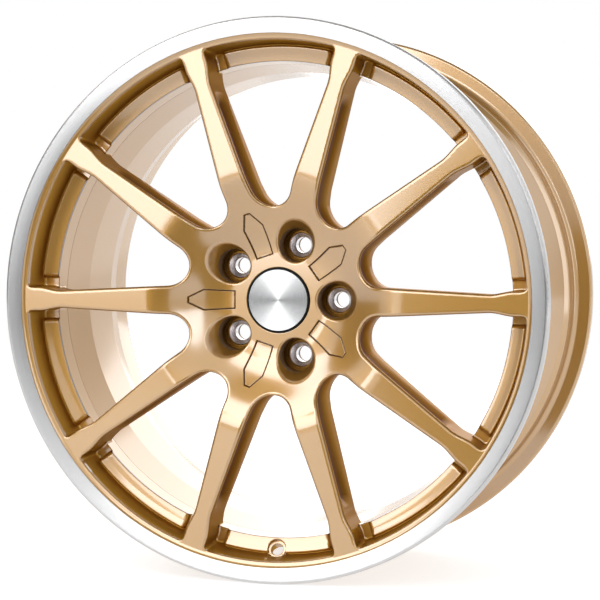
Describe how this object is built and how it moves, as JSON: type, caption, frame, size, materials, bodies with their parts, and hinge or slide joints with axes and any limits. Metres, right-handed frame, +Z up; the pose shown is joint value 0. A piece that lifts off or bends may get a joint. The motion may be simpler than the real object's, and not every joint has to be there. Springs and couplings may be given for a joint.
{
  "type": "racing wheel rim",
  "caption": "Gold forged racing wheel with slim straight spokes, a machined silver lip, a dished hub with conical lug seats and a pull-off centre cap.",
  "frame": {"origin": "wheel centre, on the axle line midway between the flanges", "axes": "+Y along the axle to the inboard side, outboard face to -Y, +Z up, valve hole at the bottom"},
  "size_m": [0.522, 0.2546, 0.522],
  "materials": {
    "gold_paint": "gloss metallic gold paint",
    "machined_alloy": "fine turned, clear coated",
    "seat_metal": "bare machined",
    "cap_black": "gloss black",
    "cap_metal": "radially brushed",
    "spring_steel": "bright wire"
  },
  "bodies": {
    "wheel": {"hub": "gold_paint", "spoke_1": "gold_paint", "spoke_2": "gold_paint", "spoke_3": "gold_paint", "spoke_4": "gold_paint", "spoke_5": "gold_paint", "spoke_6": "gold_paint", "spoke_7": "gold_paint", "spoke_8": "gold_paint", "spoke_9": "gold_paint", "spoke_10": "gold_paint", "foot_ring": "gold_paint", "outer_lip": "machined_alloy", "rim_barrel": "gold_paint", "lug_seat_1": "seat_metal", "lug_seat_2": "seat_metal", "lug_seat_3": "seat_metal", "lug_seat_4": "seat_metal", "lug_seat_5": "seat_metal"},
    "centre_cap": {"cap_shell": "cap_black", "cap_face": "cap_metal", "cap_spring": "spring_steel"}
  },
  "joints": [
    {"name": "cap_pull", "type": "slide", "parent": "wheel", "child": "centre_cap", "axis": [0, -1, 0], "range_m": [0, 0.06]}
  ]
}
